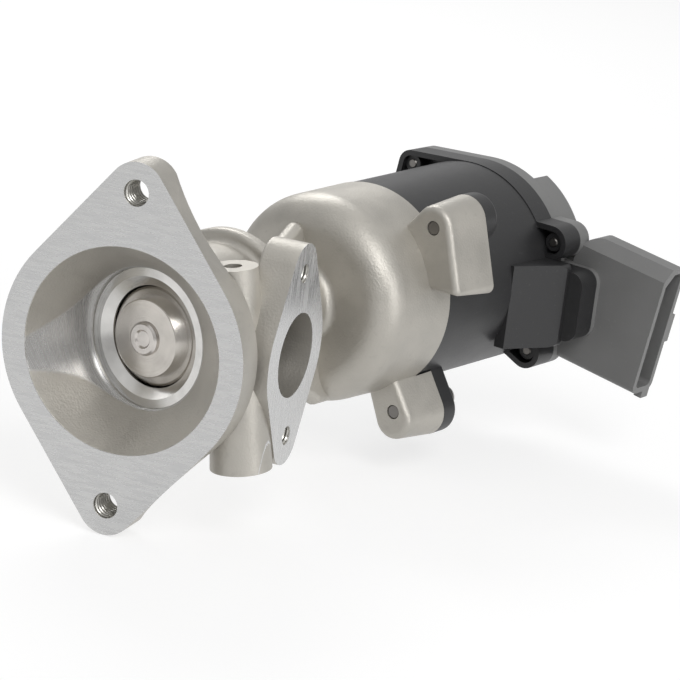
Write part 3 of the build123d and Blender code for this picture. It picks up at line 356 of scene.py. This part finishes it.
def turned_metal(name, colour, rough, groove=0.00022):
    """Metal turned on a lathe: fine rings round the valve axis stretch its highlights."""
    material, tree, shader, place = start_finish(name, colour, rough, 1.0)
    local = in_valve(tree, place)
    profile = calc(tree, "ADD", off_axis(tree, local),
                   calc(tree, "MULTIPLY", axial(tree, local), 1.3))
    rings = add(tree, "ShaderNodeTexNoise",
                {"W": calc(tree, "MULTIPLY", profile, 1 / groove), "Scale": 1.0, "Detail": 2.0},
                noise_dimensions="1D").outputs[0]
    stain = grain(tree, place, 0.006, 3.0)
    drive(tree, shader,
          mixed(tree, spread(tree, stain, 0.35, 0.7, 0, 1),
                shades(colour, 1.05), shades(colour, 0.86)),
          spread(tree, rings, 0.3, 0.7, rough * 0.75, rough * 1.3),
          relief(tree, rings, 0.000008))
    shader.inputs["Anisotropic"].default_value = 0.6
    outward = add(tree, "ShaderNodeVectorMath", {0: place, 1: SEAT_CENTRE},
                  operation="SUBTRACT").outputs[0]
    round_axis = add(tree, "ShaderNodeVectorMath", {0: VALVE_AXIS, 1: outward},
                     operation="CROSS_PRODUCT").outputs[0]
    tangent = add(tree, "ShaderNodeVectorTransform", {0: round_axis}, vector_type="VECTOR",
                  convert_from="OBJECT", convert_to="WORLD").outputs[0]
    tree.links.new(tangent, shader.inputs["Tangent"])
    return material


def plain_metal(name, colour, rough, pitch=0.0012, depth=0.00002):
    """Drawn, pressed or ground metal with faint scratches and tone changes."""
    material, tree, shader, place = start_finish(name, colour, rough, 1.0)
    worn = grain(tree, place, pitch * 6, 4.0)
    fine = grain(tree, place, pitch, 3.0)
    drive(tree, shader,
          mixed(tree, worn, shades(colour, 1.1), shades(colour, 0.85)),
          spread(tree, worn, 0.3, 0.7, rough * 0.8, rough * 1.25),
          relief(tree, fine, depth))
    return material


def moulded(name, colour, rough, pitch=0.00045, depth=0.00003, dust=0.25):
    """Moulded plastic: fine spark-eroded grain, slight tone flow and specks of dust."""
    material, tree, shader, place = start_finish(name, colour, rough)
    flow = grain(tree, place, 0.02, 2.0)
    fine = grain(tree, place, pitch, 3.0)
    specks = grain(tree, place, 0.0011, 1.0)
    lint = shades([channel + 0.05 for channel in colour], 1.0)
    base = mixed(tree, spread(tree, flow, 0.3, 0.7, 0, 1),
                 shades(colour, 0.92), shades(colour, 1.08))
    drive(tree, shader,
          mixed(tree, spread(tree, specks, 0.68, 0.78, 0, dust), base, lint),
          spread(tree, flow, 0.3, 0.7, rough * 0.9, rough * 1.1),
          relief(tree, fine, depth))
    shader.inputs["Specular IOR Level"].default_value = 0.5
    return material


def laminated():
    """Stack of punched sheets: dark lines every half millimetre along the valve axis."""
    material, tree, shader, place = start_finish("laminated_steel", (0.33, 0.33, 0.35), 0.4, 0.9)
    sheet = calc(tree, "PINGPONG", axial(tree, in_valve(tree, place)), 0.00025)
    line = spread(tree, sheet, 0.0, 0.00006, 0, 1)
    drive(tree, shader, mixed(tree, line, (0.08, 0.08, 0.09, 1), (0.36, 0.36, 0.38, 1)),
          normal=relief(tree, line, 0.00003))
    return material


def wound_copper():
    """Enamelled wire in layers: rounded ridges round the valve axis, with painted shade that
    darkens the grooves between the turns.
    """
    material, tree, shader, place = start_finish("enamelled_wire", (0.50, 0.20, 0.07), 0.28, 0.8)
    wire = 0.00026
    local = in_valve(tree, place)
    layer = calc(tree, "ADD", off_axis(tree, local),
                 calc(tree, "MULTIPLY", axial(tree, local), 0.02))
    ridge = spread(tree, calc(tree, "PINGPONG", layer, wire), 0.0, wire, 0, 1)
    # Painted shade: the colour runs from dark in the grooves between the wires to lighter on their
    # crests; the same ridge also gives the bump.
    drive(tree, shader, mixed(tree, ridge, (0.22, 0.07, 0.025, 1), (0.58, 0.24, 0.085, 1)),
          normal=relief(tree, ridge, 0.0001))
    return material


def board():
    """Green circuit board with a printed grid of tracks under the lacquer."""
    green = (0.02, 0.13, 0.06)
    material, tree, shader, place = start_finish("circuit_board", green, 0.35)
    bricks = add(tree, "ShaderNodeTexBrick", {
        "Vector": in_valve(tree, place), "Scale": 260.0, "Mortar Size": 0.018,
        "Color1": (*green, 1), "Color2": (0.025, 0.16, 0.07, 1), "Mortar": (0.05, 0.25, 0.12, 1)})
    drive(tree, shader, bricks.outputs[0], normal=relief(tree, bricks.outputs[1], 0.00003))
    return material


def dress_nodes():
    """Give every CAD node its finish."""
    bright = plain_metal("ground_steel", (0.58, 0.58, 0.57), 0.18)
    steel = plain_metal("drawn_steel", (0.48, 0.47, 0.46), 0.3)
    screws = plain_metal("dark_screw_steel", (0.20, 0.19, 0.18), 0.35)
    rubber = moulded("black_rubber", (0.018, 0.018, 0.018), 0.6,
                     pitch=0.0006, depth=0.00002, dust=0.1)
    layers = laminated()
    finishes = {
        "valve_body": cast_aluminium(),
        "seat_ring": turned_metal("seat_steel", (0.66, 0.65, 0.63), 0.17),
        "valve_disc": turned_metal("disc_steel", (0.58, 0.55, 0.51), 0.2, groove=0.0003),
        "valve_stem": turned_metal("stem_steel", (0.62, 0.59, 0.56), 0.22),
        "stem_guide": turned_metal("bronze_bush", (0.50, 0.34, 0.16), 0.3),
        "stem_scraper": steel,
        "stem_seal": rubber,
        "stem_spacer": bright,
        "spring_cup": steel,
        "spindle": bright,
        "return_spring": steel,
        "thrust_plate": steel,
        "motor_housing": moulded("black_moulding", (0.021, 0.021, 0.022), 0.42),
        "housing_o_ring": rubber,
        "cover_seal": rubber,
        "lug_screws": screws,
        "cover_screws": screws,
        "rotor_shaft": steel,
        "rotor_core": layers,
        "stator_core": layers,
        "rotor_magnets": moulded("sintered_magnet", (0.10, 0.10, 0.105), 0.45,
                                 pitch=0.0003, depth=0.00002),
        "stator_coils": wound_copper(),
        "bearing_bridge": plain_metal("bridge_casting", (0.50, 0.49, 0.46), 0.45,
                                      pitch=0.0008, depth=0.00006),
        "magnet_carrier": moulded("carrier_moulding", (0.03, 0.03, 0.03), 0.45),
        "sensor_magnet": bright,
        "circuit_board": board(),
        "sensor_chip": moulded("chip_package", (0.02, 0.02, 0.021), 0.5,
                               pitch=0.0002, depth=0.00001),
        "terminals": plain_metal("tinned_blade", (0.62, 0.61, 0.58), 0.25),
        "rear_cover": moulded("grey_moulding", (0.19, 0.19, 0.188), 0.5),
    }
    for name, node in NODES.items():
        node.data.materials.clear()
        node.data.materials.append(bright if name.endswith(("_race", "_balls")) else finishes[name])


# Added pieces

def add_piece(name, points, faces, material, node):
    """A closed, smooth mesh that rides a CAD node's body."""
    mesh = bpy.data.meshes.new(name)
    mesh.from_pydata([tuple(point) for point in points], [], [tuple(face) for face in faces])
    mesh.update()
    mesh.polygons.foreach_set("use_smooth", [True] * len(mesh.polygons))
    mesh.materials.append(material)
    piece = link(bpy.data.objects.new(name, mesh))
    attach(piece, BODY_OF[node])
    return piece


def ring_faces(turns, loop, flip=False):
    """Quads of a closed loop of points repeated round a closed turn."""
    turn, step = np.meshgrid(np.arange(turns), np.arange(loop), indexing="ij")
    after, next_step = (turn + 1) % turns, (step + 1) % loop
    corners = [turn * loop + step, after * loop + step,
               after * loop + next_step, turn * loop + next_step]
    quads = np.stack([corner.ravel() for corner in corners], axis=1)
    return quads[:, ::-1] if flip else quads


def bowl_wall(turns=240, steps=60):
    """Inside of the bowl, as a thin closed skin in front of the casting.

    Straight lines run from the mouth's circle M to the seat's edge Q, W(u) = (1 - u) M + u Q.
    They are pushed out to r = TOOL_R + TOOL_TAPER * depth where the seat's tool, whose axis
    leans down by TOOL_LEAN * depth, reaches beyond them.
    """
    angle = np.linspace(0, 2 * np.pi, turns, endpoint=False)[:, None, None]
    share = np.linspace(0, 1, steps)[None, :, None]
    cosine, sine = np.cos(angle), np.sin(angle)
    mouth = np.concatenate([0 * angle, MOUTH_R * cosine, MOUTH_R * sine], axis=2)
    edge = SEAT + SEAT_EDGE_R * (cosine * AXES[0] + sine * AXES[1]) - SEAT_EDGE_GAP * AXES[2]
    wall = (1 - share) * mouth + share * edge
    share = share[..., 0]

    local = (wall - SEAT) @ AXES.T
    depth = -local[..., 2]
    across = np.stack([local[..., 0], local[..., 1] + TOOL_LEAN * depth], axis=2)
    reach = np.linalg.norm(across, axis=2)
    tool = TOOL_R + TOOL_TAPER * depth
    push = np.maximum(tool - reach, 0) * (share < TOOL_END_SHARE)
    local[..., :2] += across / reach[..., None] * push[..., None]
    inner = SEAT + local @ AXES

    outer = inner.copy()
    thickness = WALL_SWELL * np.sin(np.pi * share / 2) + WALL_LIP * (share > 0)
    outer[:, :, 1:] *= (1 + thickness / np.linalg.norm(inner[:, :, 1:], axis=2))[..., None]
    outer[:, -1] += WALL_TUCK * AXES[2]
    loop = np.concatenate([inner, outer[:, :0:-1]], axis=1)
    piece = add_piece("bowl_wall", loop.reshape(-1, 3), ring_faces(turns, loop.shape[1]),
                      cast_aluminium("bowl_skin", lining=True), "valve_body")
    marks = np.zeros(loop.shape[:2])
    marks[:, :steps] = np.clip(push / TOOL_MARK_DEPTH, 0, 1)
    layer = piece.data.attributes.new("tool_cut", "FLOAT", "POINT")
    layer.data.foreach_set("value", marks.ravel().astype(np.float32))


def thread(name, centre, inward, radius, length, pitch, material):
    """Inside thread: a tube whose bore is radius - THREAD_HEIGHT * pitch * ridge(z / pitch - turn).

    The ridge has a flat crest a quarter of the pitch wide and rises from nothing at the lead-in.
    """
    steps = int(length / pitch * THREAD_STEPS)
    inward = np.array(inward, float)
    side = np.array((0.0, 0.0, 1.0))
    other = np.cross(inward, side)
    angle = np.linspace(0, 2 * np.pi, THREAD_TURNS, endpoint=False)[:, None]
    along = np.linspace(THREAD_START, length, steps)[None, :]
    phase = (along / pitch - angle / (2 * np.pi)) % 1.0
    lead_in = np.clip((along - THREAD_LEAD) / pitch, 0, 1)
    ridge = np.clip(1.5 - np.abs(phase - 0.5) * 4, 0, 1) * lead_in
    bore = radius - THREAD_PLAY - THREAD_HEIGHT * pitch * ridge
    back = np.full_like(bore, radius + THREAD_BACK)
    loop_r = np.concatenate([bore, back[:, ::-1]], axis=1)[..., None]
    loop_z = (np.concatenate([along, along[:, ::-1]], axis=1) + 0 * angle)[..., None]
    outward = np.cos(angle)[..., None] * side + np.sin(angle)[..., None] * other
    points = np.array(centre) + loop_r * outward + loop_z * inward
    add_piece(name, points.reshape(-1, 3), ring_faces(THREAD_TURNS, 2 * steps, flip=True),
              material, "valve_body")


def flange_threads():
    """Threads in the four bolt holes of the two flanges."""
    tapped = plain_metal("tapped_thread", (0.52, 0.51, 0.48), 0.3)
    for label, side in (("upper", 1), ("lower", -1)):
        thread("main_thread_" + label, (0, 0, side * MAIN_BOLT_Z), (1, 0, 0),
               radius=0.0034, length=0.0088, pitch=0.00125, material=tapped)
        thread("port_thread_" + label, (PORT_X, PORT_FACE_Y, side * PORT_BOLT_Z), (0, 1, 0),
               radius=0.0025, length=0.0098, pitch=0.001, material=tapped)


set_camera()
set_world()
dress_nodes()
bowl_wall()
flange_threads()
set_floor(cad_low.z - FLOOR_GAP)
for lamp in LAMPS:
    soft_box(*lamp)
